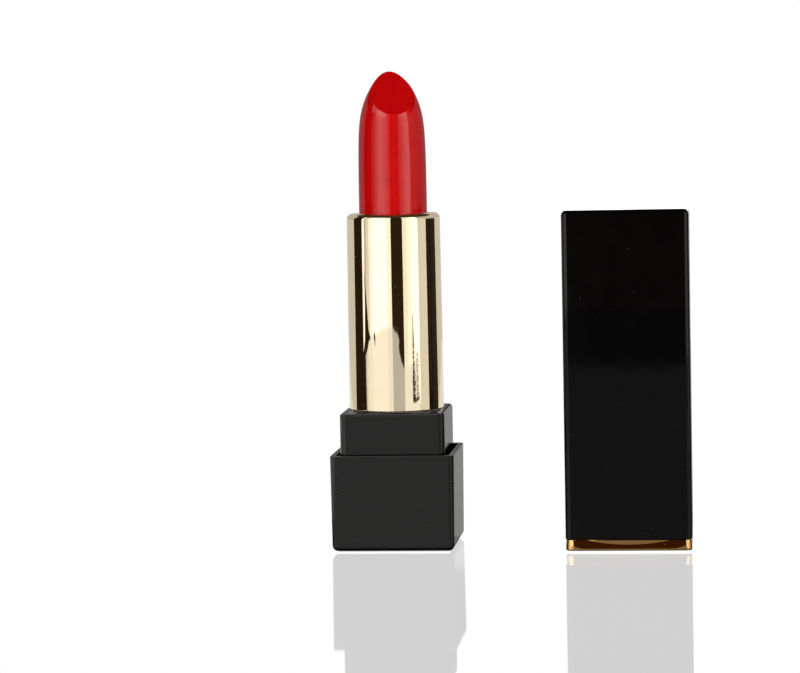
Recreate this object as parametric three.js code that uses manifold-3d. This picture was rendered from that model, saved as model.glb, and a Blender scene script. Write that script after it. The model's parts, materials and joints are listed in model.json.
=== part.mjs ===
// A square lipstick case, standing open: the twist-up case with its bullet raised, and beside it
// the pull-off cap, standing on its mouth.
//
// Millimetres, +Z up, -Y the front. The origin is the middle of the case's foot, so the case's
// own axis is the Z axis. The cap closes the case when it is moved by (-CAP_X, 0, BASE_HEIGHT).
//
// How it works: the guide fork is fixed in the base and has two upright slots. The spiral sleeve
// turns round it, glued inside the metal tube, and has two helical tracks. The carrier's two lugs
// reach through the slots into the tracks, so turning the tube lifts or lowers the bullet.
import * as THREE from "three";
import { mergeVertices } from "three/addons/utils/BufferGeometryUtils.js";
import Module from "manifold-3d";

const wasm = await Module();
wasm.setup();

// ---- Driving dimensions -------------------------------------------------------------------

// Outside of the case
const CAP_WIDTH = 22;
const CAP_HEIGHT = 59.2; // mouth to top, with the collar
const BASE_WIDTH = 21.8; // at the rim
const FOOT_WIDTH = 21.5; // at the foot: the mould's draft
const BASE_HEIGHT = 16.85;
const SHOULDER_WIDTH = 18.44;
const SHOULDER_TOP = 24.2;
const CAP_X = 41.2; // where the loose cap stands, axis to axis
const EDGE = 0.95; // radius of the black shells' upright edges
const FOOT_EDGE = 1.1;
const CAP_EDGE = 0.85;

// Metal tube and bullet
const TUBE_TOP = 59;
const TUBE_TOP_RADIUS = 8.25;
const TUBE_FOOT_RADIUS = 8.4;
const TUBE_BORE = 7.8;
const LIP_RADIUS = 6.35; // hole in the tube's turned-in top
const LIP_THICKNESS = 0.75;
const BULLET_RADIUS = 6.03;
const BULLET_TIP = 84.1; // with the bullet fully raised

// Mechanism
const LEAD = 18; // lift per turn
const STROKE = 27; // full travel, one and a half turns
const LUG_RADIUS = 0.75;
const LUG_TIP = 7.6; // distance from the axis
const RAISED_LUG_Z = 48;
const CARRIER_RADIUS = 6.48;
const CARRIER_BORE = 6.08;
const FORK_RADIUS = 7.05;
const FORK_BORE = 6.6;
const SLEEVE_RADIUS = 7.75;
const SLEEVE_BORE = 7.15;

// Walls and clearances
const BASE_WALL = 0.95;
const BASE_FLOOR = 1.2;
const CAP_WALL = 1.1;
const GAP = 0.05; // between pieces that are fixed to each other
const RUN_GAP = 0.15; // between pieces that turn or slide

// Fineness
const ROUND_SEGMENTS = 48;
const CORNER_POINTS = 5; // points round each corner of a square section

// ---- Materials ----------------------------------------------------------------------------

const material = (color, roughness, metalness) =>
  new THREE.MeshStandardMaterial({ color, roughness, metalness });
const black = material(0x0d0d0e, 0.18, 0);
const blackInner = material(0x161617, 0.5, 0);
const champagneGold = material(0xe6d3a8, 0.08, 1);
const amberGold = material(0xe8a94a, 0.12, 1);
const naturalPlastic = material(0xe9e6dc, 0.45, 0);
const steel = material(0x8d8f92, 0.4, 1);
const silicone = material(0xb9bcc0, 0.7, 0);
const redWax = material(0xb4070c, 0.3, 0);

// ---- Shape helpers ------------------------------------------------------------------------

// Points along a quarter round, from the angle `from` to `to` in degrees. In profiles the first
// number of a point is its distance from the axis and the second its height.
function arc(centre, radius, from, to, steps = 4) {
  return Array.from({ length: steps + 1 }, (_, i) => {
    const angle = THREE.MathUtils.degToRad(from + ((to - from) * i) / steps);
    return [centre[0] + radius * Math.cos(angle), centre[1] + radius * Math.sin(angle)];
  });
}

const lathe = (profile, segments) =>
  new THREE.LatheGeometry(profile.map((point) => new THREE.Vector2(...point)), segments);

// A profile turned about Z. It runs anticlockwise, up the outside.
function turned(profile, segments = ROUND_SEGMENTS) {
  return lathe(profile, segments).rotateX(Math.PI / 2);
}

// A profile swept round a square instead of a circle: its first number is half the square's
// width. `edge` is the corner radius at half width `at`; it shrinks with the square, down to
// `least`.
function squared(profile, { edge, at, least = 0.25 }) {
  const columns = 4 * CORNER_POINTS;
  const geometry = lathe(profile, columns);
  const position = geometry.attributes.position;
  for (let i = 0; i < position.count; i++) {
    const column = Math.floor(i / profile.length) % columns;
    const [half, z] = profile[i % profile.length];
    const radius = Math.min(half, Math.max(least, edge - (at - half)));
    const quarter = Math.floor(column / CORNER_POINTS);
    const step = (column % CORNER_POINTS) / (CORNER_POINTS - 1);
    const angle = ((quarter + step - 1) * Math.PI) / 2;
    const x = Math.sign([1, 1, -1, -1][quarter]) * (half - radius) + radius * Math.cos(angle);
    const y = Math.sign([-1, 1, 1, -1][quarter]) * (half - radius) + radius * Math.sin(angle);
    position.setXYZ(i, x, y, z);
  }
  return geometry;
}

const block = (x, y, z) => new THREE.BoxGeometry(x, y, z);
const cylinder = (radius, low, high) =>
  turned([
    [0, low],
    [radius, low],
    [radius, high],
    [0, high],
  ]);

// Geometry to manifold-3d solid and back.
function solid(geometry) {
  const bare = geometry.clone();
  bare.deleteAttribute("normal");
  bare.deleteAttribute("uv");
  const merged = mergeVertices(bare, 1e-4);
  const vertProperties = merged.attributes.position.array;
  const triVerts = new Uint32Array(merged.index.array);
  return new wasm.Manifold(new wasm.Mesh({ numProp: 3, vertProperties, triVerts }));
}

function surface(body) {
  const { vertProperties, triVerts } = body.getMesh();
  const geometry = new THREE.BufferGeometry();
  geometry.setAttribute("position", new THREE.BufferAttribute(vertProperties, 3));
  geometry.setIndex(new THREE.BufferAttribute(triVerts, 1));
  geometry.computeVertexNormals();
  return geometry;
}

const joined = (geometry, ...others) =>
  surface(others.reduce((body, other) => body.add(solid(other)), solid(geometry)));
const cut = (geometry, ...tools) =>
  surface(tools.reduce((body, tool) => body.subtract(solid(tool)), solid(geometry)));

function piece(name, geometry, pieceMaterial, z = 0) {
  const mesh = new THREE.Mesh(geometry, pieceMaterial);
  mesh.name = name;
  mesh.position.z = z;
  return mesh;
}

// ---- Base: the part that stands on the table ----------------------------------------------

const SHELL_INSIDE = BASE_WIDTH / 2 - BASE_WALL; // half width of the base shell's cavity
const GROOVE_FLOOR = BASE_HEIGHT - 1.9; // the trough round the shoulder, which takes no piece
const SKIRT_WALL = 1;
const SKIRT_INSIDE = SHELL_INSIDE - GAP - SKIRT_WALL;
const LEDGE_TOP = 16.9; // shelf in the shoulder that the brake ring and the sleeve stand on
const LEDGE_THICKNESS = 1.5;
const WEIGHT_THICKNESS = 3.7;
const FORK_FOOT_Z = BASE_FLOOR + GAP + WEIGHT_THICKNESS + 0.2;
const FORK_FOOT_THICKNESS = 1.6;

// Thin square cup with a slight taper outside and straight walls inside.
function baseShell() {
  const rim = BASE_WIDTH / 2;
  const foot = FOOT_WIDTH / 2;
  const rimEdge = 0.15;
  return squared(
    [
      [0, 0],
      ...arc([foot - FOOT_EDGE, FOOT_EDGE], FOOT_EDGE, -90, 0),
      ...arc([rim - rimEdge, BASE_HEIGHT - rimEdge], rimEdge, 0, 90, 2),
      [SHELL_INSIDE + rimEdge, BASE_HEIGHT],
      [SHELL_INSIDE, BASE_HEIGHT - rimEdge],
      [SHELL_INSIDE, BASE_FLOOR],
      [0, BASE_FLOOR],
    ],
    { edge: EDGE, at: rim },
  );
}

// The shoulder block that the cap slides over, with the skirt that it is pushed into the shell
// by, and a bore with a ledge for the turning sleeve.
function baseInsert() {
  const half = SHOULDER_WIDTH / 2;
  const topEdge = 0.6;
  const shoulder = squared(
    [
      [0, GROOVE_FLOOR - 1],
      [half, GROOVE_FLOOR - 1],
      ...arc([half - topEdge, SHOULDER_TOP - topEdge], topEdge, 0, 90),
      [0, SHOULDER_TOP],
    ],
    { edge: 1, at: half, least: 0.4 },
  );
  const skirt = squared(
    [
      [0, BASE_FLOOR + GAP],
      [SHELL_INSIDE - GAP, BASE_FLOOR + GAP],
      [SHELL_INSIDE - GAP, GROOVE_FLOOR],
      [0, GROOVE_FLOOR],
    ],
    { edge: 0.35, at: SHELL_INSIDE },
  );
  const cavity = squared(
    [
      [0, 0],
      [SKIRT_INSIDE, 0],
      [SKIRT_INSIDE, LEDGE_TOP - LEDGE_THICKNESS - 1.5],
      [SKIRT_INSIDE - 1.5, LEDGE_TOP - LEDGE_THICKNESS],
      [0, LEDGE_TOP - LEDGE_THICKNESS],
    ],
    { edge: 0.5, at: SKIRT_INSIDE },
  );
  const bore = cylinder(SLEEVE_RADIUS + RUN_GAP, LEDGE_TOP, SHOULDER_TOP + 1);
  const ledgeHole = cylinder(FORK_RADIUS + GAP * 3, 0, SHOULDER_TOP);
  return cut(joined(shoulder, skirt), cavity, bore, ledgeHole);
}

// Steel slug that gives the closed case its weight and keeps it standing.
function baseWeight() {
  const half = SKIRT_INSIDE - 0.2;
  const chamfer = 0.3;
  return squared(
    [
      [0, 0],
      [half - chamfer, 0],
      [half, chamfer],
      [half, WEIGHT_THICKNESS - chamfer],
      [half - chamfer, WEIGHT_THICKNESS],
      [0, WEIGHT_THICKNESS],
    ],
    { edge: 1, at: half },
  );
}

// Long tube with two upright slots, a square foot that can't turn in the skirt, and a bead at the
// top that holds the sleeve down.
const FORK_TOP = 57.7;
const BEAD_HEIGHT = 0.4;
const BEAD_RADIUS = 7.4;
function guideFork() {
  const height = FORK_TOP - FORK_FOOT_Z;
  const footHalf = SKIRT_INSIDE - 0.15;
  const foot = squared(
    [
      [0, 0],
      [footHalf, 0],
      [footHalf, FORK_FOOT_THICKNESS],
      [0, FORK_FOOT_THICKNESS],
    ],
    { edge: 0.8, at: footHalf },
  );
  const tube = turned([
    [0, 0],
    [FORK_RADIUS, 0],
    [FORK_RADIUS, height - BEAD_HEIGHT],
    [BEAD_RADIUS, height - BEAD_HEIGHT],
    [FORK_RADIUS, height],
    [0, height],
  ]);
  const bore = cylinder(FORK_BORE, -1, height + 1);
  const slotEnd = LUG_RADIUS + 0.45;
  const slotHeight = STROKE + 2 * slotEnd;
  const slots = block(4 * FORK_RADIUS, 2 * LUG_RADIUS + 0.3, slotHeight);
  slots.translate(0, 0, RAISED_LUG_Z - STROKE / 2 - FORK_FOOT_Z);
  return cut(joined(foot, tube), bore, slots);
}

// Silicone ring squeezed under the sleeve. Its drag keeps the bullet where it is put.
const BRAKE_SECTION = 0.27; // radius of the ring's round section
function brakeRing() {
  const middle = (FORK_RADIUS + SLEEVE_RADIUS + RUN_GAP) / 2 + GAP;
  const section = arc([middle, BRAKE_SECTION], BRAKE_SECTION, 0, 360, 8);
  return turned(section);
}

// ---- Turning tube -------------------------------------------------------------------------

const TUBE_FOOT_Z = SHOULDER_TOP + RUN_GAP;
const SLEEVE_FOOT_Z = LEDGE_TOP + 2 * BRAKE_SECTION + 2 * GAP;
const SLEEVE_TOP_Z = FORK_TOP - BEAD_HEIGHT - GAP;

// Bright metal tube: slightly wider at the foot, with its top rounded and turned in to the bullet.
function goldTube() {
  const height = TUBE_TOP - TUBE_FOOT_Z;
  const round = 1;
  const foot = TUBE_FOOT_RADIUS;
  return turned([
    [foot - 0.1, 0],
    [foot, 0.1],
    ...arc([TUBE_TOP_RADIUS - round, height - round], round, 0, 90, 5),
    [LIP_RADIUS + 0.2, height - 0.05],
    [LIP_RADIUS, height - 0.25],
    [LIP_RADIUS, height - LIP_THICKNESS],
    [TUBE_BORE, height - LIP_THICKNESS],
    [TUBE_BORE, 0],
    [foot - 0.1, 0],
  ]);
}

// A bar that climbs round the Z axis along the track of one lug, to cut that track.
function trackCutter(startAngle, width, low, high) {
  const inside = SLEEVE_BORE - 0.5;
  const depth = SLEEVE_RADIUS - SLEEVE_BORE + 1;
  const steps = 64;
  const bar = new THREE.BoxGeometry(depth, width, high - low, 1, 1, steps);
  bar.translate(inside + depth / 2, 0, (low + high) / 2);
  const position = bar.attributes.position;
  const point = new THREE.Vector3();
  const up = new THREE.Vector3(0, 0, 1);
  for (let i = 0; i < position.count; i++) {
    point.fromBufferAttribute(position, i);
    const climbed = (point.z + SLEEVE_FOOT_Z - RAISED_LUG_Z) / LEAD;
    point.applyAxisAngle(up, startAngle + climbed * 2 * Math.PI);
    position.setXYZ(i, point.x, point.y, point.z);
  }
  return bar;
}

// Thin sleeve with two helical tracks cut through its wall, half a turn apart.
function spiralSleeve() {
  const height = SLEEVE_TOP_Z - SLEEVE_FOOT_Z;
  const sleeve = turned([
    [SLEEVE_BORE, 0],
    [SLEEVE_RADIUS, 0],
    [SLEEVE_RADIUS, height],
    [SLEEVE_BORE, height],
    [SLEEVE_BORE, 0],
  ]);
  // A level cut across a track is wider than the lug, by the track's slope.
  const slope = (2 * Math.PI * LUG_TIP) / LEAD;
  const width = 2 * (LUG_RADIUS * Math.hypot(1, slope) + 0.35);
  const end = LUG_RADIUS + 0.2;
  const low = RAISED_LUG_Z - STROKE - end - SLEEVE_FOOT_Z;
  const high = RAISED_LUG_Z + end - SLEEVE_FOOT_Z;
  const tracks = [0, Math.PI].map((start) => trackCutter(start, width, low, high));
  return cut(sleeve, ...tracks);
}

// ---- Carrier and bullet -------------------------------------------------------------------

const CARRIER_HEIGHT = 11;
const CARRIER_FLOOR = 1;
const LUG_HEIGHT = 1.6; // above the carrier's underside
const CARRIER_Z = RAISED_LUG_Z - LUG_HEIGHT;

// Cup that holds the bullet's root, with a lug each side and a vent hole in its floor.
function carrier() {
  const vent = 1.5;
  const cup = turned([
    [vent, 0],
    [CARRIER_RADIUS - 0.2, 0],
    [CARRIER_RADIUS, 0.2],
    [CARRIER_RADIUS, CARRIER_HEIGHT],
    [CARRIER_BORE, CARRIER_HEIGHT],
    [CARRIER_BORE, CARRIER_FLOOR],
    [vent, CARRIER_FLOOR],
    [vent, 0],
  ]);
  const root = CARRIER_RADIUS - 0.3;
  const lugs = [1, -1].map((side) =>
    new THREE.CylinderGeometry(LUG_RADIUS, LUG_RADIUS, LUG_TIP - root, 16)
      .rotateZ(Math.PI / 2)
      .translate((side * (LUG_TIP + root)) / 2, 0, LUG_HEIGHT),
  );
  return joined(cup, ...lugs);
}

// Moulded stick with a pointed, bullet-shaped nose, sliced off at a slant towards the front.
const BULLET_Z = CARRIER_Z + CARRIER_FLOOR + GAP;
const NOSE_LENGTH = 24; // where the nose has swelled out to the full stick
const NOSE_SWELL = 4.45; // square of the half width gained per mm, near the tip
const SLANT = THREE.MathUtils.degToRad(45);
const SLANT_TURN = THREE.MathUtils.degToRad(12.5); // the cut face looks a little to the right
const TIP_OFFSET = 2.3; // how far behind the axis the cut meets the nose's back

// Radius of the nose at a depth below the tip. Seen from the front the nose is a parabola that
// swells out to the stick; behind the cut it is fuller, so that the outline keeps that shape.
function noseRadius(depth) {
  const parabola = NOSE_SWELL * depth;
  const front = parabola / (1 + (parabola / BULLET_RADIUS ** 2) ** 4) ** 0.25;
  const behind = Math.max(0, TIP_OFFSET - depth / Math.tan(SLANT));
  return Math.hypot(Math.sqrt(front), behind);
}

function bullet() {
  const tip = BULLET_TIP - BULLET_Z;
  const steps = 20;
  const nose = Array.from({ length: steps + 1 }, (_, i) => {
    const depth = NOSE_LENGTH * (1 - i / steps) ** 2;
    return [noseRadius(depth), tip - depth];
  });
  const root = [
    [0, 0],
    [BULLET_RADIUS - 0.4, 0],
    [BULLET_RADIUS, 0.4],
  ];
  const stick = turned([...root, ...nose, [0, tip]]);
  const slice = block(30, 30, 10)
    .translate(0, 0, 5)
    .rotateX(SLANT)
    .translate(0, TIP_OFFSET, tip)
    .rotateZ(SLANT_TURN);
  return cut(stick, slice);
}

// ---- Cap ----------------------------------------------------------------------------------

const COLLAR_HEIGHT = 1.95;
const CAP_INSIDE = CAP_WIDTH / 2 - CAP_WALL;
const CAP_TOP_THICKNESS = 1.5;
const LINER_Z = 0.3;
const LINER_WALL = 0.5;
const LINER_HEIGHT = CAP_HEIGHT - CAP_TOP_THICKNESS - LINER_Z - 0.2;
const FLANGE = 0.25; // the liner's foot, which holds the collar on
const FLANGE_HEIGHT = 0.45;

function capShell() {
  const half = CAP_WIDTH / 2;
  const height = CAP_HEIGHT - COLLAR_HEIGHT - GAP;
  return squared(
    [
      [CAP_INSIDE, 0],
      [half - 0.1, 0],
      [half, 0.1],
      ...arc([half - CAP_EDGE, height - CAP_EDGE], CAP_EDGE, 0, 90),
      [0, height],
      [0, height - CAP_TOP_THICKNESS],
      [CAP_INSIDE, height - CAP_TOP_THICKNESS],
      [CAP_INSIDE, 0],
    ],
    { edge: EDGE, at: half },
  );
}

// Gold band round the cap's mouth, which leans in a little towards its top. The rebate inside its
// lower edge takes the liner's flange.
function capCollar() {
  const half = CAP_WIDTH / 2 - 0.05;
  const topHalf = half - 0.13;
  const bottomEdge = 0.35;
  const topEdge = 0.12;
  const rebate = CAP_INSIDE + FLANGE;
  return squared(
    [
      [rebate, 0],
      ...arc([half - bottomEdge, bottomEdge], bottomEdge, -90, 0),
      ...arc([topHalf - topEdge, COLLAR_HEIGHT - topEdge], topEdge, 0, 90, 2),
      [CAP_INSIDE, COLLAR_HEIGHT],
      [CAP_INSIDE, LINER_Z + FLANGE_HEIGHT + GAP],
      [rebate, LINER_Z + FLANGE_HEIGHT + GAP],
      [rebate, 0],
    ],
    { edge: EDGE, at: half },
  );
}

// Inner cup that grips the shoulder block: a thin square tube with a lead-in at its mouth and
// two low ribs on each side.
function capLiner() {
  const outside = CAP_INSIDE - 0.07;
  const inside = outside - LINER_WALL;
  const leadIn = 0.3;
  const cup = squared(
    [
      [inside + leadIn, 0],
      [CAP_INSIDE + FLANGE - 0.07, 0],
      [CAP_INSIDE + FLANGE - 0.07, FLANGE_HEIGHT],
      [outside, FLANGE_HEIGHT],
      [outside, LINER_HEIGHT],
      [0, LINER_HEIGHT],
      [0, LINER_HEIGHT - 0.8],
      [inside, LINER_HEIGHT - 0.8],
      [inside, leadIn],
      [inside + leadIn, 0],
    ],
    { edge: 0.6, at: outside, least: 0.4 },
  );
  const ribHeight = 6.5;
  const ribProud = 0.1;
  const ribs = [];
  for (let side = 0; side < 4; side++) {
    for (const offset of [-4.5, 4.5]) {
      ribs.push(
        block(1, 0.3, ribHeight)
          .translate(offset, inside - ribProud + 0.15, leadIn + 0.9 + ribHeight / 2)
          .rotateZ((side * Math.PI) / 2),
      );
    }
  }
  return joined(cup, ...ribs);
}

// ---- Assembly -----------------------------------------------------------------------------

const base = new THREE.Group();
base.add(
  piece("base_shell", baseShell(), black),
  piece("base_insert", baseInsert(), black),
  piece("base_weight", baseWeight(), steel, BASE_FLOOR + GAP),
  piece("guide_fork", guideFork(), naturalPlastic, FORK_FOOT_Z),
  piece("brake_ring", brakeRing(), silicone, LEDGE_TOP + GAP),
);

const tube = new THREE.Group();
tube.add(
  piece("gold_tube", goldTube(), champagneGold, TUBE_FOOT_Z),
  piece("spiral_sleeve", spiralSleeve(), naturalPlastic, SLEEVE_FOOT_Z),
);

const lift = new THREE.Group();
lift.add(
  piece("bullet_carrier", carrier(), naturalPlastic, CARRIER_Z),
  piece("lipstick_bullet", bullet(), redWax, BULLET_Z),
);

const cap = new THREE.Group();
cap.position.x = CAP_X;
cap.add(
  piece("cap_shell", capShell(), black, COLLAR_HEIGHT + GAP),
  piece("cap_collar", capCollar(), amberGold),
  piece("cap_liner", capLiner(), blackInner, LINER_Z),
);

const lipstickCase = new THREE.Group();
lipstickCase.add(base, tube, lift, cap);

export default lipstickCase;
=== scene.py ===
"""A square lipstick case, standing open with its bullet raised, and its loose cap beside it."""

import json
import math
import random

import bmesh
import bpy
from mathutils import Matrix, Vector

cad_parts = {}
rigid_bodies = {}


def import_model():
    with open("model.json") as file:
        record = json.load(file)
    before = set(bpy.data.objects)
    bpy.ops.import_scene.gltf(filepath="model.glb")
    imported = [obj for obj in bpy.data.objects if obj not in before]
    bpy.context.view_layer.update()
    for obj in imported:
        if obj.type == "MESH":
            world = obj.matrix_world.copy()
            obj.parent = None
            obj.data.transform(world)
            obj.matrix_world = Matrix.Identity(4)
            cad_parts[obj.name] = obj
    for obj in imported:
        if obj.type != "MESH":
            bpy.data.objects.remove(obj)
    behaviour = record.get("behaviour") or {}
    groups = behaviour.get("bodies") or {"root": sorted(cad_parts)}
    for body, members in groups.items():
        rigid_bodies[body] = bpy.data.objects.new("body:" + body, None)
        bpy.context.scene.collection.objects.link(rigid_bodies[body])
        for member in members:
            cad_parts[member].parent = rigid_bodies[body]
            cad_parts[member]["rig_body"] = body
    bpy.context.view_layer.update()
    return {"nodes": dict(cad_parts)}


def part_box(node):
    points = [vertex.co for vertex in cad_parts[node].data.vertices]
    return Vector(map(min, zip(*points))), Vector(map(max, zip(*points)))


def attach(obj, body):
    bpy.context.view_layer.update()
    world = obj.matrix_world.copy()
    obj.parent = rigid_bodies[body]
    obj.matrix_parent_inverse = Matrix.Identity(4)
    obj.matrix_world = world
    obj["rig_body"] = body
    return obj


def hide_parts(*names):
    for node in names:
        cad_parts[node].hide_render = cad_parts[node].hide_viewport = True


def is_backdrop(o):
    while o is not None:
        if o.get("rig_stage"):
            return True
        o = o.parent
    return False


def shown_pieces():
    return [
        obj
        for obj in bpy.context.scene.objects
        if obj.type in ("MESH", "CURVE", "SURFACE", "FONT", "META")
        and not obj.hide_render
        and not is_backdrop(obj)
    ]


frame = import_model()

MM = 0.001

# ---- Camera ---------------------------------------------------------------------------------
# A long lens, a little to the right of the case and above it.

CAMERA_PLACE = (55.1 * MM, -514.0 * MM, 72.7 * MM)
CAMERA_PAN = 6.03  # degrees to the left of straight ahead
CAMERA_PITCH = 3.95  # degrees down
CAMERA_ROLL = -1.09
CAMERA_LENS = 131.1

# ---- Light ----------------------------------------------------------------------------------
# Directions are in degrees round the case, from the front (-Y) towards the right (+X). Places and
# sizes in the lists are in mm. Each panel lights some groups of pieces alone.

WARM_WHITE = (1.0, 0.985, 0.95)
CARD_BROWN = (1.0, 0.66, 0.33)
CAP_BROWN = (1.0, 0.4, 0.06)

PANEL_DISTANCE = 760 * MM
SOFTBOX = (-60, 650)  # bottom and top
BACK_WALL = (-60, 115)
LOW_WALL = (-60, 82)
SHELLS = ("base", "tube", "cap")
PANELS = [  # from, to, (bottom, top), brightness, what it lights
    (-79, -72, SOFTBOX, 1.2, SHELLS),
    (-72, -67, SOFTBOX, 0.5, SHELLS),
    (-67, -59, SOFTBOX, 0.8, SHELLS),
    (-59, -52, SOFTBOX, 1.1, SHELLS),
    (-52, -12, SOFTBOX, 1.6, SHELLS),
    (-12, -1.2, SOFTBOX, 1.15, SHELLS),
    (27, 37, SOFTBOX, 1.0, SHELLS),
    (37, 47, SOFTBOX, 1.2, SHELLS),
    (47, 67, SOFTBOX, 1.6, SHELLS),
    (-79, -63, SOFTBOX, 0.5, ("board",)),
    (-63, -52, SOFTBOX, 0.7, ("board",)),
    (-52, -12, SOFTBOX, 0.85, ("board",)),
    (-12, -1.2, SOFTBOX, 0.65, ("board",)),
    (27, 67, SOFTBOX, 0.7, ("board",)),
    (67, 95, BACK_WALL, 0.75, ("base", "cap", "board")),
    (129, 178, BACK_WALL, 0.47, ("base", "board")),
    (-178, -109, BACK_WALL, 0.47, ("board",)),
    (-130, -79, SOFTBOX, 1.2, ("base",)),
    (-178, -130, SOFTBOX, 0.2, ("base",)),
    (129, 178, LOW_WALL, 0.62, ("tube",)),
    (-178, -109, LOW_WALL, 0.62, ("tube",)),
    (129, 178, (-60, 50), 0.47, ("cap",)),
    (-178, -109, (-60, 50), 0.47, ("cap",)),
    (130, 230, (50, 385), 1.7, ("cap",)),
    (67, 251, (84, 585), 0.5, ("tube",)),
    (-70, -57, SOFTBOX, 0.25, ("bullet",)),
    (-57, -46, SOFTBOX, 0.75, ("bullet",)),
    (-46, -24, SOFTBOX, 1.35, ("bullet",)),
    (-24, -14, SOFTBOX, 1.0, ("bullet",)),
    (-14, -4, SOFTBOX, 0.55, ("bullet",)),
    (28, 38, SOFTBOX, 0.45, ("bullet",)),
    (38, 48, SOFTBOX, 0.85, ("bullet",)),
    (48, 58, SOFTBOX, 1.3, ("bullet",)),
    (58, 68, SOFTBOX, 1.5, ("bullet",)),
    (-78, -52, (370, 950), 0.7, ("bullet",)),
    (-52, -14, (330, 950), 1.0, ("bullet",)),
    (36, 66, (330, 950), 0.8, ("bullet",)),
    (68, 178, (-60, 330), 0.2, ("bullet",)),
    (-178, -105, (-60, 330), 0.25, ("bullet",)),
]
CARD_SPAN = (-60, 470)
CARDS = [  # the dark cards between the softboxes, which aren't quite black; the last is the colour
    (-109, -79, CARD_SPAN, 0.018, ("tube",), CARD_BROWN),
    (-109, -79, CARD_SPAN, 0.023, ("cap",), CARD_BROWN),
    (-1.2, 27, CARD_SPAN, 0.023, ("tube",), CARD_BROWN),
    (-1.2, 27, CARD_SPAN, 0.037, ("cap",), CAP_BROWN),
    (95, 129, CARD_SPAN, 0.023, ("tube", "cap"), CARD_BROWN),
]
# Panels overhead: place, width and depth, brightness, what it lights, colour.
OVERHEADS = {
    "overhead": ((0, 150, 500), (900, 1100), 2.2, "base", WARM_WHITE),
    "ceiling": ((0, 0, 400), (1000, 1000), 0.05, "tube", CARD_BROWN),
}
# What the tube mirrors on its right, in place of the cap: upright panels that face it, from
# (y, z) to (y, z), with their brightness and colour.
NEAR_X = 28 * MM
NEAR_PANELS = {
    "near fill": ((-16.5, -40), (-4.3, 60), 0.75, WARM_WHITE),
    "near card": ((-4.3, -40), (10.1, 60), 0.01, CARD_BROWN),
}
# Soft light on the bullet alone, without a highlight: place, width, brightness.
WAX_TARGET = (0, 0, 70)  # what they point at
WAX_LIGHTS = {
    "wax light": ((-30, -400, 90), 500, 2.1),
    "wax side light": ((400, -80, 90), 300, 2.0),
    "wax back light": ((100, 400, 150), 400, 1.6),
}
# The white of the board, as the plastic pieces mirror it: from (x, y) to (x, y), the brightness
# and what it lights.
SHEENS = {
    "front sheen": ((-140, -411), (260, -11), 0.5, "base"),
    "left sheen": ((-350, -305), (-50, 145), 0.95, "base"),
    "back sheen": ((-200, 11), (200, 400), 0.11, "base"),
    "cap sheen": ((-110, -419), (190, -11), 0.2, "cap"),
}

# ---- Floor, gloss board and scraps ----------------------------------------------------------

FLOOR_HALF = 2000 * MM
SURROUND_RADIUS = 3000 * MM
FLOOR_Z = -0.3 * MM
FLOOR_WHITE = 0.638  # the rest of the floor's white is what it mirrors
FLOOR_ROUGHNESS = 0.03
CONTACT_Z = -0.291 * MM
CONTACT_GAPS = {  # from (x, y) to (x, y), in mm
    "base contact": ((-14, -11.1), (10, -8.6)),
    "cap contact": ((28, -12.6), (54, -8.7)),
}
SHEEN_Z = -0.39 * MM
BOARD_Z = -0.6 * MM
BOARD_GLOW = (0.52, 0.53, 0.53)  # the white of the board, as the metal tube mirrors it
BOARD_MIRROR = 0.6
BOARD_ROUGHNESS = 0.08
# The glossy pieces mirror a white board with a torn front edge. Its outline is a list of
# (direction in degrees, distance in mm).
BOARD = [
    *[(-66.5, 230), (-69, 430), (-67, 590), (-58, 620), (-50, 640), (-46, 610), (-42, 650)],
    *[(-28, 690), (-14, 700), (-1, 707), (4, 677), (11.5, 657), (15, 617), (13.4, 574)],
    *[(15.4, 534), (20, 493), (27, 459), (40, 470), (55, 500), (64, 500), (66.5, 230)],
    *[(102, 230), (156, 560), (204, 560), (258, 230)],
]
# Scraps that stand on the board, which the tube mirrors as dark shapes. An outline is a list of
# (direction in degrees, height in mm).
SCRAP_DISTANCE = 250 * MM
SCRAPS = {
    "left scrap": [
        *[(-73.5, 41.4), (-69.5, 34.7), (-65, 29.5), (-63, 26), (-62, 24.2), (-56.3, 22.1)],
        *[(-61, 21.4), (-62.5, 20.8), (-65.6, 19.2), (-66.8, 18.7), (-71.6, 17.7)],
        *[(-71.2, 11), (-70.5, 0), (-80, 0), (-80, 17.5), (-76.7, 19), (-73.1, 21.6)],
        *[(-71.7, 29.5), (-71.9, 34.7)],
    ],
    "left chip": [
        *[(-48.6, 22.6), (-47.4, 23.6), (-44.8, 24.0), (-43.4, 22.6), (-43.8, 21), (-45.6, 19.9)],
        *[(-45.8, 21.6)],
    ],
    "right scrap": [
        *[(48.3, 28.6), (47.8, 25.5), (47.3, 20.6), (51, 20.6), (50.2, 25.5), (49.8, 28.6)],
    ],
    "right foot": [
        *[(46.4, 5.6), (52, 5.4), (56, 5.7), (63.6, 6.4), (63.2, 7.1), (56.6, 6.8), (46.2, 6.7)],
    ],
    "right strand": [(63.8, 5.6), (65.6, 4.6), (66.9, 3.4), (66.9, 2.8), (65.6, 3.6), (64.4, 4.6)],
}
# Short frayed ends below the right scrap, in rows: how many, from and to which height, where
# they start and end, and how thick they are.
FRAY_ROWS = [
    (17, (5.8, 13.0), (45.6, 46.6), (52.4, 54.4), (0.4, 0.48)),
    (17, (13.0, 20.6), (46.4, 47.2), (51.2, 52.8), (0.4, 0.48)),
    (27, (6.8, 18.6), (55.4, 57.0), (58.8, 62.2), (0.16, 0.32)),
]
FRAY_RISES = (-0.1, 0.15)  # how much higher the far end is
FRAY_TAPER = 0.7  # how thick the far end is, as a share
FRAY_SEED = 11
# What the tube mirrors off the scraps, which aren't quite black: from, to, height, brightness.
SCRAP_TINTS = [(-80, -62, 42, 0.018), (44, 64, 30, 0.03)]
TINT_DISTANCE = 225 * MM

# ---- Fineness -------------------------------------------------------------------------------

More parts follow.
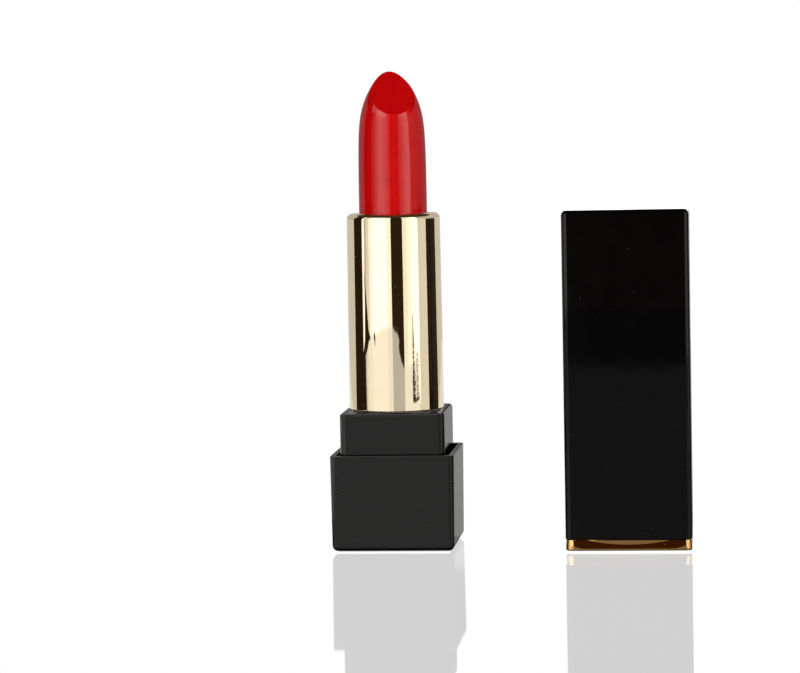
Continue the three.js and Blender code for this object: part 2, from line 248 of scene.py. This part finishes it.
ROUND_STEPS = 192
CORNER_STEPS = 12
ARC_STEPS = 10
LEAST_EDGE = 0.25 * MM  # radius of the corners of the smallest square rings


# ---- Outlines and rings ---------------------------------------------------------------------
# An outline is a list of (distance from the axis, height), in metres. A ring is a list of points
# round the axis.


def arc(centre, radius, start, end, steps=ARC_STEPS):
    angles = [math.radians(start + (end - start) * i / steps) for i in range(steps + 1)]
    return [(centre[0] + radius * math.cos(a), centre[1] + radius * math.sin(a)) for a in angles]


def round_ring(radius, z):
    angles = [2 * math.pi * i / ROUND_STEPS for i in range(ROUND_STEPS)]
    return [Vector((radius * math.cos(a), radius * math.sin(a), z)) for a in angles]


def square_ring(half, z, edge):
    """Points round a square with rounded corners."""
    ring = []
    for quarter, (sx, sy) in enumerate([(1, 1), (-1, 1), (-1, -1), (1, -1)]):
        for step in range(CORNER_STEPS + 1):
            a = math.radians(90 * (quarter + step / CORNER_STEPS))
            x = sx * (half - edge) + edge * math.cos(a)
            y = sy * (half - edge) + edge * math.sin(a)
            ring.append(Vector((x, y, z)))
    return ring


def sided_ring(half, z, edge, side_steps):
    """A square ring with points along its sides as well as round its corners."""
    corners = square_ring(half, z, edge)
    count = CORNER_STEPS + 1
    ring = []
    for side in range(4):
        corner = corners[side * count : (side + 1) * count]
        following = corners[(side + 1) % 4 * count]
        shares = [i / side_steps for i in range(1, side_steps)]
        ring += corner + [corner[-1].lerp(following, share) for share in shares]
    return ring


# ---- Mesh building --------------------------------------------------------------------------


def skin(name, rings, closed=False):
    """A mesh over rings of equal length. Unless it closes on itself, its two ends are filled."""
    mesh = bpy.data.meshes.new(name)
    bm = bmesh.new()
    loops = [[bm.verts.new(p) for p in ring] for ring in rings]
    following = loops[1:] + loops[:1] if closed else loops[1:]
    for low, high in zip(loops, following):
        for i in range(len(low)):
            j = (i + 1) % len(low)
            bm.faces.new((low[i], low[j], high[j], high[i]))
    if not closed:
        bm.faces.new(list(reversed(loops[0])))
        bm.faces.new(loops[-1])
    bmesh.ops.recalc_face_normals(bm, faces=bm.faces)
    bm.to_mesh(mesh)
    bm.free()
    mesh.shade_smooth()
    return mesh


def square_sweep(name, outline, edge, at):
    """An outline swept round a square. The corner radius is `edge` at half width `at`, and it
    shrinks with the square, down to the least one."""
    return skin(name, [square_ring(h, z, max(LEAST_EDGE, edge - (at - h))) for h, z in outline])


def piece(name, mesh, node, material, x=0.0):
    """A finished piece that stands for a CAD node and rides on the same body."""
    obj = bpy.data.objects.new(name, mesh)
    bpy.context.scene.collection.objects.link(obj)
    mesh.transform(Matrix.Translation((x, 0, 0)))
    mesh.materials.append(material)
    flat_faces = obj.modifiers.new("Flat faces stay flat", "WEIGHTED_NORMAL")
    flat_faces.weight = 100
    flat_faces.keep_sharp = True
    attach(obj, frame["nodes"][node]["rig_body"])
    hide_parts(node)


# ---- Material building ----------------------------------------------------------------------


class Nodes:
    """A material's node tree, with a short way to add and link nodes."""

    def __init__(self, name):
        self.material = bpy.data.materials.new(name)
        self.material.use_nodes = True
        self.tree = self.material.node_tree
        self.shader = self.tree.nodes["Principled BSDF"]

    def add(self, kind, inputs=None, **settings):
        node = self.tree.nodes.new(kind)
        for key, value in settings.items():
            setattr(node, key, value)
        for key, value in (inputs or {}).items():
            self.put(node.inputs[key], value)
        return node

    def put(self, socket, value):
        if isinstance(value, bpy.types.NodeSocket):
            self.tree.links.new(value, socket)
        else:
            socket.default_value = value

    def set(self, **inputs):
        for key, value in inputs.items():
            self.put(self.shader.inputs[key.replace("_", " ")], value)

    def place(self, stretch=(1, 1, 1)):
        coordinates = self.add("ShaderNodeTexCoord").outputs["Object"]
        return self.add(
            "ShaderNodeMapping", {"Vector": coordinates, "Scale": stretch}
        ).outputs["Vector"]

    def noise(self, size, detail=3, stretch=(1, 1, 1)):
        """Noise whose blotches are about `size` metres wide."""
        inputs = {"Vector": self.place(stretch), "Scale": 1 / size, "Detail": detail}
        return self.add("ShaderNodeTexNoise", inputs).outputs["Fac"]

    def spread(self, value, low, high, start=0.3, end=0.7):
        """value, from start to end, as a number from low to high."""
        inputs = {"Value": value, 1: start, 2: end, 3: low, 4: high}
        return self.add("ShaderNodeMapRange", inputs).outputs["Result"]

    def dots(self, spacing, radius):
        """1 inside small round specks, about `spacing` metres apart, and 0 elsewhere."""
        inputs = {"Vector": self.place(), "Scale": 1 / spacing}
        distance = self.add("ShaderNodeTexVoronoi", inputs).outputs["Distance"]
        edge = radius / spacing
        return self.spread(distance, 1, 0, start=0.75 * edge, end=edge)

    def blend(self, factor, a, b):
        """The mix of two colours, given as (red, green, blue) or as the output of a node."""
        node = self.add("ShaderNodeMix", data_type="RGBA")
        self.put(node.inputs["Factor"], factor)
        for socket, colour in zip((node.inputs[6], node.inputs[7]), (a, b)):
            self.put(socket, (*colour, 1) if isinstance(colour, tuple) else colour)
        return node.outputs[2]

    def bump(self, height, distance, below=None):
        inputs = {"Height": height, "Distance": distance, "Strength": 1.0}
        if below:
            inputs["Normal"] = below
        return self.add("ShaderNodeBump", inputs).outputs["Normal"]


DUST = (0.09, 0.09, 0.088)


def gloss_plastic(name, dark, light):
    """Polished moulded plastic: very slightly wavy, with faint handling marks and dust."""
    n = Nodes(name)
    plastic = n.blend(n.spread(n.noise(5 * MM), 0, 1), dark, light)
    waves = n.bump(n.noise(14 * MM, detail=1), 0.012 * MM)
    skin_texture = n.bump(n.noise(0.9 * MM, detail=2), 0.0004 * MM, below=waves)
    n.set(
        Base_Color=n.blend(n.dots(2 * MM, 0.09 * MM), plastic, DUST),
        Roughness=n.spread(n.noise(3 * MM, detail=5), 0.03, 0.06),
        Normal=skin_texture,
        IOR=1.355,
    )
    return n.material


def satin_plastic(name, dark, light, roughness=0.45):
    """Unpolished moulded plastic with a fine spark-eroded grain."""
    n = Nodes(name)
    n.set(
        Base_Color=n.blend(n.spread(n.noise(2.5 * MM), 0, 1), dark, light),
        Roughness=n.spread(n.noise(0.6 * MM, detail=4), roughness - 0.08, roughness + 0.08),
        Normal=n.bump(n.noise(0.12 * MM, detail=2), 0.004 * MM),
        IOR=1.47,
    )
    return n.material


def bright_metal(name, dark, light, roughness):
    """Polished anodised aluminium with faint draw lines along its length, and specks of dust."""
    n = Nodes(name)
    lines = n.noise(0.25 * MM, detail=3, stretch=(1, 1, 0.02))
    waves = n.bump(n.noise(9 * MM, detail=1, stretch=(1, 1, 0.35)), 0.01 * MM)
    polish = n.spread(lines, roughness * 0.7, roughness * 1.5)
    specks = n.spread(n.dots(1.3 * MM, 0.09 * MM), 0, 0.3, start=0, end=1)
    n.set(
        Base_Color=n.blend(n.spread(n.noise(4 * MM), 0, 1), dark, light),
        Roughness=n.add("ShaderNodeMath", {0: polish, 1: specks}, operation="MAXIMUM").outputs[0],
        Normal=n.bump(lines, 0.0003 * MM, below=waves),
        Metallic=1.0,
    )
    return n.material


def sawn_steel(name):
    """Bare steel slug with saw lines and a thin film of tarnish."""
    n = Nodes(name)
    lines = n.noise(0.15 * MM, detail=4, stretch=(1, 0.03, 1))
    n.set(
        Base_Color=n.blend(n.spread(n.noise(3 * MM), 0, 1), (0.3, 0.29, 0.28), (0.5, 0.5, 0.5)),
        Roughness=n.spread(lines, 0.28, 0.5),
        Normal=n.bump(lines, 0.004 * MM),
        Metallic=1.0,
    )
    return n.material


def soft_silicone(name):
    n = Nodes(name)
    n.set(
        Base_Color=n.blend(n.noise(0.8 * MM), (0.42, 0.43, 0.44), (0.55, 0.56, 0.57)),
        Roughness=n.spread(n.noise(0.3 * MM), 0.55, 0.75),
        Normal=n.bump(n.noise(0.1 * MM), 0.003 * MM),
        IOR=1.41,
    )
    return n.material


def red_wax(name):
    """Moulded cosmetic wax: satin, a little see-through, with flow marks and tiny pits."""
    n = Nodes(name)
    mottle = n.spread(n.noise(2.2 * MM, detail=4), 0, 1)
    pits = n.bump(n.noise(0.22 * MM, detail=3), 0.0016 * MM)
    n.set(
        Base_Color=n.blend(mottle, (0.48, 0.0018, 0.0025), (0.56, 0.003, 0.004)),
        Roughness=n.spread(n.noise(0.7 * MM, detail=4), 0.07, 0.12),
        Normal=n.bump(n.noise(4.5 * MM, detail=2, stretch=(1, 1, 0.4)), 0.03 * MM, below=pits),
        Subsurface_Weight=0.08,
        Subsurface_Radius=(1.0, 0.15, 0.12),
        Subsurface_Scale=0.5 * MM,
        IOR=1.6,
    )
    return n.material


black = gloss_plastic("black gloss plastic", (0.0032, 0.0032, 0.0036), (0.0052, 0.0052, 0.0056))
black_inner = satin_plastic("black inner plastic", (0.008, 0.008, 0.008), (0.013, 0.013, 0.013))
natural = satin_plastic("natural plastic", (0.72, 0.7, 0.63), (0.8, 0.78, 0.72))
champagne = bright_metal("champagne gold", (0.94, 0.8, 0.56), (0.97, 0.83, 0.6), 0.02)
amber = bright_metal("amber gold", (0.93, 0.48, 0.16), (0.96, 0.54, 0.2), 0.02)

# ---- Base -----------------------------------------------------------------------------------

BASE_WALL = 0.95 * MM
BASE_FLOOR = 1.2 * MM
BASE_TAPER = 0.15 * MM  # how much narrower each side is at the foot
BASE_EDGE = 0.95 * MM  # radius of the upright edges
FOOT_EDGE = 1.1 * MM
RIM_EDGE = 0.15 * MM


def base_shell():
    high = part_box("base_shell")[1]
    rim = high.x
    foot = rim - BASE_TAPER
    inside = rim - BASE_WALL
    outline = [
        *arc((foot - FOOT_EDGE, FOOT_EDGE), FOOT_EDGE, -90, 0),
        *arc((rim - RIM_EDGE, high.z - RIM_EDGE), RIM_EDGE, 0, 90, 4),
        *arc((inside + RIM_EDGE, high.z - RIM_EDGE), RIM_EDGE, 90, 180, 4),
        (inside, BASE_FLOOR),
    ]
    mesh = square_sweep("base_shell_fine", outline, BASE_EDGE, rim)
    piece("base_shell_fine", mesh, "base_shell", black)


RUN_GAP = 0.15 * MM  # between pieces that turn or slide
FIX_GAP = 0.05 * MM  # between pieces that are fixed to each other
SHOULDER_HALF = 9.22 * MM
SHOULDER_EDGE = 1.0 * MM
SHOULDER_LEAST_EDGE = 0.4 * MM
SHOULDER_TOP_EDGE = 0.6 * MM
GROOVE_DEPTH = 1.9 * MM
GROOVE_CURVE = 0.2 * MM
SKIRT_EDGE = 0.35 * MM
SKIRT_INNER_EDGE = 0.4 * MM
SKIRT_WALL = 1.0 * MM
BORE_EDGE = 0.15 * MM
LEDGE_HOLE = 7.2 * MM
LEDGE_THICKNESS = 1.5 * MM
INSERT_SIDE_STEPS = 28


def base_insert():
    """The square shoulder and its skirt, with the round bore that the tube turns in."""
    low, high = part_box("base_insert")
    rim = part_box("base_shell")[1].z
    sleeve_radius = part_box("spiral_sleeve")[1].x
    skirt = high.x
    bore = sleeve_radius + RUN_GAP
    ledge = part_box("brake_ring")[0].z - FIX_GAP
    inside = skirt - SKIRT_WALL
    groove = rim - GROOVE_DEPTH
    foot_curve = (SHOULDER_HALF + GROOVE_CURVE, groove + GROOVE_CURVE)
    top_curve = (SHOULDER_HALF - SHOULDER_TOP_EDGE, high.z - SHOULDER_TOP_EDGE)

    def square(half, z, edge):
        return sided_ring(half, z, edge, INSERT_SIDE_STEPS)

    def shoulder(half, z):
        edge = max(SHOULDER_LEAST_EDGE, SHOULDER_EDGE - (SHOULDER_HALF - half))
        return square(half, z, edge)

    def round_bore(radius, z):
        """A round ring whose points have the same bearings as the square ones."""
        angles = [math.atan2(p.y, p.x) for p in shoulder(SHOULDER_HALF, z)]
        return [Vector((radius * math.cos(a), radius * math.sin(a), z)) for a in angles]

    rings = [square(skirt, low.z, SKIRT_EDGE), square(skirt, groove, SKIRT_EDGE)]
    rings += [shoulder(h, z) for h, z in arc(foot_curve, GROOVE_CURVE, 270, 180, 4)]
    rings += [shoulder(h, z) for h, z in arc(top_curve, SHOULDER_TOP_EDGE, 0, 90)]
    rings += [
        round_bore(bore + BORE_EDGE, high.z),
        round_bore(bore, high.z - BORE_EDGE),
        round_bore(bore, ledge),
        round_bore(LEDGE_HOLE, ledge),
        round_bore(LEDGE_HOLE, ledge - LEDGE_THICKNESS),
        square(inside, ledge - LEDGE_THICKNESS, SKIRT_INNER_EDGE),
        square(inside, low.z, SKIRT_INNER_EDGE),
    ]
    mesh = skin("base_insert_fine", rings, closed=True)
    piece("base_insert_fine", mesh, "base_insert", black)


# ---- Metal tube -----------------------------------------------------------------------------

TUBE_ROUND = 1.0 * MM  # radius of the turned-in top
TUBE_FOOT_EDGE = 0.12 * MM
LIP_RADIUS = 6.35 * MM
LIP_EDGE = 0.3 * MM
LIP_THICKNESS = 0.75 * MM
TUBE_BORE = 7.8 * MM
TUBE_TOP_RADIUS = 8.25 * MM


def gold_tube():
    low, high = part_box("gold_tube")
    foot = high.x
    top = high.z
    outline = [
        *arc((foot - TUBE_FOOT_EDGE, low.z + TUBE_FOOT_EDGE), TUBE_FOOT_EDGE, -90, 0, 4),
        *arc((TUBE_TOP_RADIUS - TUBE_ROUND, top - TUBE_ROUND), TUBE_ROUND, 0, 90, 16),
        *arc((LIP_RADIUS + LIP_EDGE, top - LIP_EDGE), LIP_EDGE, 90, 180, 6),
        (LIP_RADIUS, top - LIP_THICKNESS),
        (TUBE_BORE, top - LIP_THICKNESS),
        (TUBE_BORE, low.z),
    ]
    mesh = skin("gold_tube_fine", [round_ring(r, z) for r, z in outline], closed=True)
    piece("gold_tube_fine", mesh, "gold_tube", champagne)


# ---- Bullet ---------------------------------------------------------------------------------

BULLET_RADIUS = 6.03 * MM
NOSE_LENGTH = 24 * MM
NOSE_SWELL = 4.45 * MM  # square of the half width gained per metre, near the tip
NOSE_STEPS = 90
CUT_STEPS = 24
SLANT = math.radians(45)
SLANT_TURN = math.radians(12.5)  # the cut face looks a little to the right
TIP_Z = 84.1 * MM
TIP_OFFSET = 2.3 * MM  # how far behind the axis the cut meets the nose's back
WAX_EDGE = 0.1 * MM  # how softly the cut meets the nose
ROOT_EDGE = 0.4 * MM
CUT_CENTRE = 0.01 * MM  # radius of the last ring of the cut face


def nose_radius(depth):
    """Radius at a depth below the tip: from the front, a parabola that swells out to the stick.
    Behind the cut the nose is fuller, so that its outline keeps that shape."""
    parabola = NOSE_SWELL * depth
    front = parabola / (1 + (parabola / BULLET_RADIUS**2) ** 4) ** 0.25
    behind = max(0, TIP_OFFSET - depth / math.tan(SLANT))
    return math.hypot(math.sqrt(front), behind)


def cut_height(radius, facing):
    """Height of the cut at a radius; `facing` is 1 straight behind the axis and -1 in front."""
    return TIP_Z + (radius * facing - TIP_OFFSET) * math.tan(SLANT)


def fold_depth(facing):
    """Depth below the tip at which the nose meets the cut."""
    above, below = 0.0, NOSE_LENGTH
    for _ in range(30):
        depth = (above + below) / 2
        if cut_height(nose_radius(depth), facing) < TIP_Z - depth:
            above = depth
        else:
            below = depth
    return below


def bullet_side(facing, root_z):
    """The bullet's outline on one bearing, from its root, up the nose and over the cut."""
    fold = fold_depth(facing)
    start = fold + WAX_EDGE
    outline = arc((BULLET_RADIUS - ROOT_EDGE, root_z + ROOT_EDGE), ROOT_EDGE, -90, 0, 6)
    for i in range(NOSE_STEPS + 1):
        depth = start + (NOSE_LENGTH - start) * (1 - i / NOSE_STEPS) ** 2
        outline.append((nose_radius(depth), TIP_Z - depth))
    corner = Vector((nose_radius(fold), TIP_Z - fold))
    inner = corner.x - WAX_EDGE
    before, after = Vector(outline[-1]), Vector((inner, cut_height(inner, facing)))
    for t in (0.25, 0.5, 0.75):
        outline.append(tuple(before.lerp(corner, t).lerp(corner.lerp(after, t), t)))
    for i in range(CUT_STEPS + 1):
        radius = inner + (CUT_CENTRE - inner) * i / CUT_STEPS
        outline.append((radius, cut_height(radius, facing)))
    return outline


def bullet():
    """A bullet-shaped stick whose nose is sliced off by a plane that slopes to the front."""
    root_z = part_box("lipstick_bullet")[0].z
    sides = []
    for i in range(ROUND_STEPS):
        bearing = 2 * math.pi * i / ROUND_STEPS
        outline = bullet_side(math.sin(bearing - SLANT_TURN), root_z)
        sides.append([(r * math.cos(bearing), r * math.sin(bearing), z) for r, z in outline])
    mesh = skin("lipstick_bullet_fine", list(zip(*sides)))
    wax = red_wax("red wax")
    piece("lipstick_bullet_fine", mesh, "lipstick_bullet", wax)


# ---- Cap ------------------------------------------------------------------------------------

CAP_WALL = 1.1 * MM
CAP_ROOF = 1.5 * MM
CAP_EDGE = 0.95 * MM
CAP_TOP_EDGE = 0.85 * MM
CAP_FOOT_EDGE = 0.1 * MM


def cap_shell():
    low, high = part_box("cap_shell")
    half = (high.x - low.x) / 2
    inside = half - CAP_WALL
    outline = [
        (inside, high.z - CAP_ROOF),
        (inside, low.z),
        *arc((half - CAP_FOOT_EDGE, low.z + CAP_FOOT_EDGE), CAP_FOOT_EDGE, -90, 0, 4),
        *arc((half - CAP_TOP_EDGE, high.z - CAP_TOP_EDGE), CAP_TOP_EDGE, 0, 90),
    ]
    mesh = square_sweep("cap_shell_fine", outline, CAP_EDGE, half)
    middle = (low.x + high.x) / 2
    piece("cap_shell_fine", mesh, "cap_shell", black, x=middle)


COLLAR_LEAN = 0.15 * MM  # how far the band leans in at its top
COLLAR_FLAT_DEPTH = 0.8 * MM  # a lens-shaped upright flat in the middle of each side's top
COLLAR_FLAT_HALF = 7.4 * MM
COLLAR_EDGE = 1.1 * MM
COLLAR_FOOT_EDGE = 0.35 * MM
COLLAR_TOP_EDGE = 0.1 * MM
COLLAR_WEDGE_REACH = 3.4 * MM  # from the corner along each side
COLLAR_WEDGE_RISE = 1.1 * MM
COLLAR_WEDGE_FADE = 8  # how fast it ends where the corner's curve starts
COLLAR_REBATE_DEPTH = 0.25 * MM  # inside the mouth
COLLAR_REBATE_RISE = 0.8 * MM
COLLAR_SIDE_STEPS = 72
COLLAR_RINGS = 40


def collar_ring(half, z, height):
    """A ring whose sides lean in with height, apart from the flat in the middle of each and
    a wedge at the foot of each corner."""
    leaning = half - COLLAR_LEAN * z / height
    edge = COLLAR_EDGE - (half - leaning)
    ring = sided_ring(leaning, z, edge, COLLAR_SIDE_STEPS)
    straight = leaning - edge
    for point in ring:
        along = min(abs(point.x), abs(point.y))
        flat_foot = height - COLLAR_FLAT_DEPTH * max(0, 1 - (along / COLLAR_FLAT_HALF) ** 2)
        nearness = max(0, 1 - (half - along) / COLLAR_WEDGE_REACH)
        nearness *= max(0, 1 - COLLAR_WEDGE_FADE * max(0, along - straight) / edge)
        wedge_top = COLLAR_FOOT_EDGE + COLLAR_WEDGE_RISE * nearness**2
        upright = COLLAR_LEAN * (max(0, z - flat_foot) + min(z, wedge_top)) / height
        for axis in (0, 1):
            outward = max(0, abs(point[axis]) - straight) / edge
            point[axis] += math.copysign(upright * outward, point[axis])
    return ring


def cap_collar():
    low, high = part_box("cap_collar")
    half = (high.x - low.x) / 2
    height = high.z
    inside = half + FIX_GAP - CAP_WALL
    rebate = inside + COLLAR_REBATE_DEPTH
    step = COLLAR_REBATE_RISE
    face_low, face_high = COLLAR_FOOT_EDGE, height - COLLAR_TOP_EDGE
    outline = arc((half - COLLAR_FOOT_EDGE, face_low), COLLAR_FOOT_EDGE, -90, 0, 8)
    for i in range(1, COLLAR_RINGS):
        outline.append((half, face_low + (face_high - face_low) * i / COLLAR_RINGS))
    outline += arc((half - COLLAR_TOP_EDGE, face_high), COLLAR_TOP_EDGE, 0, 90, 4)
    rings = []
    for ring_half, z in outline:
        ring = collar_ring(half, z, height)
        share = ring_half / half
        rings.append([Vector((point.x * share, point.y * share, z)) for point in ring])
    inner = [(inside, height), (inside, step), (rebate, step), (rebate, 0)]
    rings += [sided_ring(h, z, LEAST_EDGE, COLLAR_SIDE_STEPS) for h, z in inner]
    mesh = skin("cap_collar_fine", rings, closed=True)
    middle = (low.x + high.x) / 2
    piece("cap_collar_fine", mesh, "cap_collar", amber, x=middle)


# ---- Inner pieces that keep their CAD shape ---------------------------------------------------


def refinish(node, material, bevel):
    obj = frame["nodes"][node]
    obj.data.materials.clear()
    obj.data.materials.append(material)
    edges = obj.modifiers.new("Softened edges", "BEVEL")
    edges.width = bevel
    edges.segments = 2
    edges.limit_method = "ANGLE"
    edges.angle_limit = math.radians(40)


refinish("guide_fork", natural, 0.05 * MM)
refinish("spiral_sleeve", natural, 0.05 * MM)
refinish("bullet_carrier", natural, 0.05 * MM)
refinish("brake_ring", soft_silicone("silicone"), 0.01 * MM)
refinish("base_weight", sawn_steel("sawn steel"), 0.1 * MM)
refinish("cap_liner", black_inner, 0.04 * MM)

base_shell()
base_insert()
gold_tube()
bullet()
cap_shell()
cap_collar()

# ---- Stage ----------------------------------------------------------------------------------


def glow(name, colour, mirrored=0.0, roughness=0.0):
    """A surface that glows evenly and, if `mirrored` isn't 0, mirrors what is above it too."""
    n = Nodes(name)
    n.tree.nodes.remove(n.shader)
    surface = n.add("ShaderNodeEmission", {"Color": (*colour, 1)}).outputs["Emission"]
    if mirrored:
        shine = {"Color": (mirrored, mirrored, mirrored, 1), "Roughness": roughness}
        mirror = n.add("ShaderNodeBsdfGlossy", shine).outputs["BSDF"]
        surface = n.add("ShaderNodeAddShader", {0: surface, 1: mirror}).outputs["Shader"]
    n.put(n.tree.nodes["Material Output"].inputs["Surface"], surface)
    return n.material


def stage_part(name, mesh, material):
    mesh.materials.append(material)
    obj = bpy.data.objects.new(name, mesh)
    bpy.context.scene.collection.objects.link(obj)
    obj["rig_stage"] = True
    return obj


def flat_part(name, outline, material):
    mesh = bpy.data.meshes.new(name)
    mesh.from_pydata(outline, [], [tuple(range(len(outline)))])
    return stage_part(name, mesh, material)


def rectangle(low, high, z):
    return [(low[0], low[1], z), (high[0], low[1], z), (high[0], high[1], z), (low[0], high[1], z)]


def toward(direction, distance, z):
    bearing = math.radians(direction)
    return (distance * math.sin(bearing), -distance * math.cos(bearing), z)


def in_metres(values):
    return [v * MM for v in values]


def middle_and_size(low, high):
    """Both in metres, from two corners in mm."""
    middle = in_metres((a + b) / 2 for a, b in zip(low, high))
    return middle, in_metres(b - a for a, b in zip(low, high))


def collection_of(name, objects):
    group = bpy.data.collections.new(name)
    for obj in objects:
        group.objects.link(obj)
    return group


def hide_from(obj, *rays):
    for ray in rays:
        setattr(obj, "visible_" + ray, False)


def floor():
    """White floor, part glow and part mirror, which only the camera sees. The glossy pieces
    mirror the gloss board below it instead."""
    white = glow("floor white", (FLOOR_WHITE,) * 3, 1 - FLOOR_WHITE, FLOOR_ROUGHNESS)
    corners = rectangle((-FLOOR_HALF, -FLOOR_HALF), (FLOOR_HALF, FLOOR_HALF), FLOOR_Z)
    obj = flat_part("floor", corners, white)
    hide_from(obj, "glossy", "diffuse", "shadow")
    return obj


def contact_gaps():
    """Thin white strips on the floor, which part each piece's front foot from its reflection."""
    white = glow("contact white", (1, 1, 1))
    for name, corners in CONTACT_GAPS.items():
        low, high = (in_metres(corner) for corner in corners)
        obj = flat_part(name, rectangle(low, high, CONTACT_Z), white)
        hide_from(obj, "glossy", "diffuse", "shadow")


def mirrored_part(name, outline, material):
    """A flat part of the stage that the glossy pieces mirror and the camera doesn't see."""
    obj = flat_part(name, outline, material)
    hide_from(obj, "camera", "diffuse", "shadow")
    return obj


def gloss_board():
    """The white gloss board that the pieces mirror. The camera sees the floor instead."""
    white = glow("gloss board white", BOARD_GLOW, BOARD_MIRROR, BOARD_ROUGHNESS)
    outline = [toward(direction, distance * MM, BOARD_Z) for direction, distance in BOARD]
    return mirrored_part("gloss board", outline, white)


def scraps(floor_only):
    """Scraps round the set, whose reflections break up the stripes on the metal tube. Their
    white glow reaches the floor alone, so they are lost against the surround there, and they
    look black to the pieces."""
    white = glow("scrap", (1, 1, 1))

    def scrap(name, outline):
        corners = [toward(direction, SCRAP_DISTANCE, z * MM) for direction, z in outline]
        mirrored_part(name, corners, white).light_linking.receiver_collection = floor_only

    for name, outline in SCRAPS.items():
        scrap(name, outline)
    rng = random.Random(FRAY_SEED)
    for row, (count, heights, starts, ends, thicknesses) in enumerate(FRAY_ROWS):
        for k in range(count):
            z = heights[0] + (k + 0.5 * rng.random()) / count * (heights[1] - heights[0])
            start, end, tall = (rng.uniform(*span) for span in (starts, ends, thicknesses))
            far = z + rng.uniform(*FRAY_RISES)
            outline = [(start, z), (end, far), (end, far + FRAY_TAPER * tall), (start, z + tall)]
            scrap(f"fray {row + 1}.{k + 1}", outline)


def surround(floor_only):
    """White all round, which the camera and the floor see and nothing else does."""
    mesh = bpy.data.meshes.new("surround")
    bm = bmesh.new()
    bmesh.ops.create_uvsphere(bm, u_segments=48, v_segments=24, radius=SURROUND_RADIUS)
    bm.to_mesh(mesh)
    bm.free()
    obj = stage_part("surround", mesh, glow("surround white", (1, 1, 1)))
    obj.light_linking.receiver_collection = floor_only


def panel(name, place, target, size, brightness, receivers, colour=WARM_WHITE):
    """A softbox of that even brightness, which lights its receivers alone. The camera doesn't
    see it."""
    light = bpy.data.lights.new(name, "AREA")
    light.shape = "RECTANGLE"
    light.size, light.size_y = size
    light.color = colour
    light.energy = brightness * math.pi * size[0] * size[1]
    obj = bpy.data.objects.new(name, light)
    bpy.context.scene.collection.objects.link(obj)
    obj.location = place
    obj.rotation_euler = (Vector(target) - Vector(place)).to_track_quat("-Z", "Y").to_euler()
    obj.visible_camera = False
    obj.light_linking.receiver_collection = receivers
    return obj


def upright_panel(start, end, span, brightness, receivers, colour=WARM_WHITE):
    """A panel that fills an angle round the case. A wide one is made of several flat pieces."""
    low, high = in_metres(span)
    z = (low + high) / 2
    count = math.ceil((end - start) / 45)
    angle = (end - start) / count
    half_angle = math.radians(angle / 2)
    size = (2 * PANEL_DISTANCE * math.sin(half_angle), high - low)
    for i in range(count):
        direction = start + angle * (i + 0.5)
        place = toward(direction, PANEL_DISTANCE * math.cos(half_angle), z)
        panel("panel", place, (0, 0, z), size, brightness, receivers, colour)


def receiver_finder(board):
    """The function that gives a light its receivers: a collection of all in some groups."""
    groups = {
        "base": ("base", "guide", "brake"),
        "tube": ("gold", "spiral", "bullet_carrier"),
        "bullet": ("lipstick_bullet_fine",),
        "cap": ("cap",),
    }
    members = {k: [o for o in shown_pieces() if o.name.startswith(v)] for k, v in groups.items()}
    members["board"] = [board]
    found = {}

    def lit(*names):
        if names not in found:
            objects = [o for name in names for o in members[name]]
            found[names] = collection_of("lit " + " ".join(names), objects)
        return found[names]

    return lit


def far_panels(lit):
    for *spec, names in PANELS:
        upright_panel(*spec, lit(*names))
    for *spec, names, colour in CARDS:
        upright_panel(*spec, lit(*names), colour)


def wax_lights(lit):
    for name, (place, width, brightness) in WAX_LIGHTS.items():
        size = (width * MM, width * MM)
        light = panel(name, in_metres(place), in_metres(WAX_TARGET), size, brightness, lit("bullet"))
        hide_from(light, "glossy")


def level_panels(lit):
    """The sheens below the pieces and the panels overhead."""
    for name, (low, high, brightness, group) in SHEENS.items():
        (x, y), size = middle_and_size(low, high)
        panel(name, (x, y, SHEEN_Z), (x, y, 1), size, brightness, lit(group))
    for name, (place, size, brightness, group, colour) in OVERHEADS.items():
        x, y, z = in_metres(place)
        panel(name, (x, y, z), (x, y, 0), in_metres(size), brightness, lit(group), colour)


def near_panels(lit):
    """The panels close to the tube, and the faint tint over the scraps."""
    for name, (low, high, brightness, colour) in NEAR_PANELS.items():
        (y, z), size = middle_and_size(low, high)
        panel(name, (NEAR_X, y, z), (0, y, z), size, brightness, lit("tube"), colour)
    for start, end, height, brightness in SCRAP_TINTS:
        z = height / 2 * MM
        size = (2 * TINT_DISTANCE * math.tan(math.radians((end - start) / 2)), height * MM)
        place = toward((start + end) / 2, TINT_DISTANCE, z)
        panel("scrap tint", place, (0, 0, z), size, brightness, lit("tube"), CARD_BROWN)


def dark_world():
    world = bpy.data.worlds.new("dark")
    world.use_nodes = True
    world.node_tree.nodes["Background"].inputs["Color"].default_value = (0, 0, 0, 1)
    bpy.context.scene.world = world


def camera():
    data = bpy.data.cameras.new("camera")
    data.lens = CAMERA_LENS
    data.clip_start = 0.05
    data.clip_end = 20
    obj = bpy.data.objects.new("camera", data)
    bpy.context.scene.collection.objects.link(obj)
    pan = Matrix.Rotation(math.radians(CAMERA_PAN), 4, "Z")
    pitch = Matrix.Rotation(math.radians(90 - CAMERA_PITCH), 4, "X")
    roll = Matrix.Rotation(math.radians(CAMERA_ROLL), 4, "Z")
    obj.matrix_world = Matrix.Translation(CAMERA_PLACE) @ pan @ pitch @ roll
    bpy.context.scene.camera = obj


def build_stage():
    board = gloss_board()
    lit = receiver_finder(board)
    board.light_linking.receiver_collection = lit("tube")
    far_panels(lit)
    wax_lights(lit)
    level_panels(lit)
    near_panels(lit)
    dark_world()
    floor_only = collection_of("the floor", [floor()])
    surround(floor_only)
    scraps(floor_only)
    contact_gaps()
    camera()
    bpy.context.scene.view_settings.view_transform = "Standard"


build_stage()
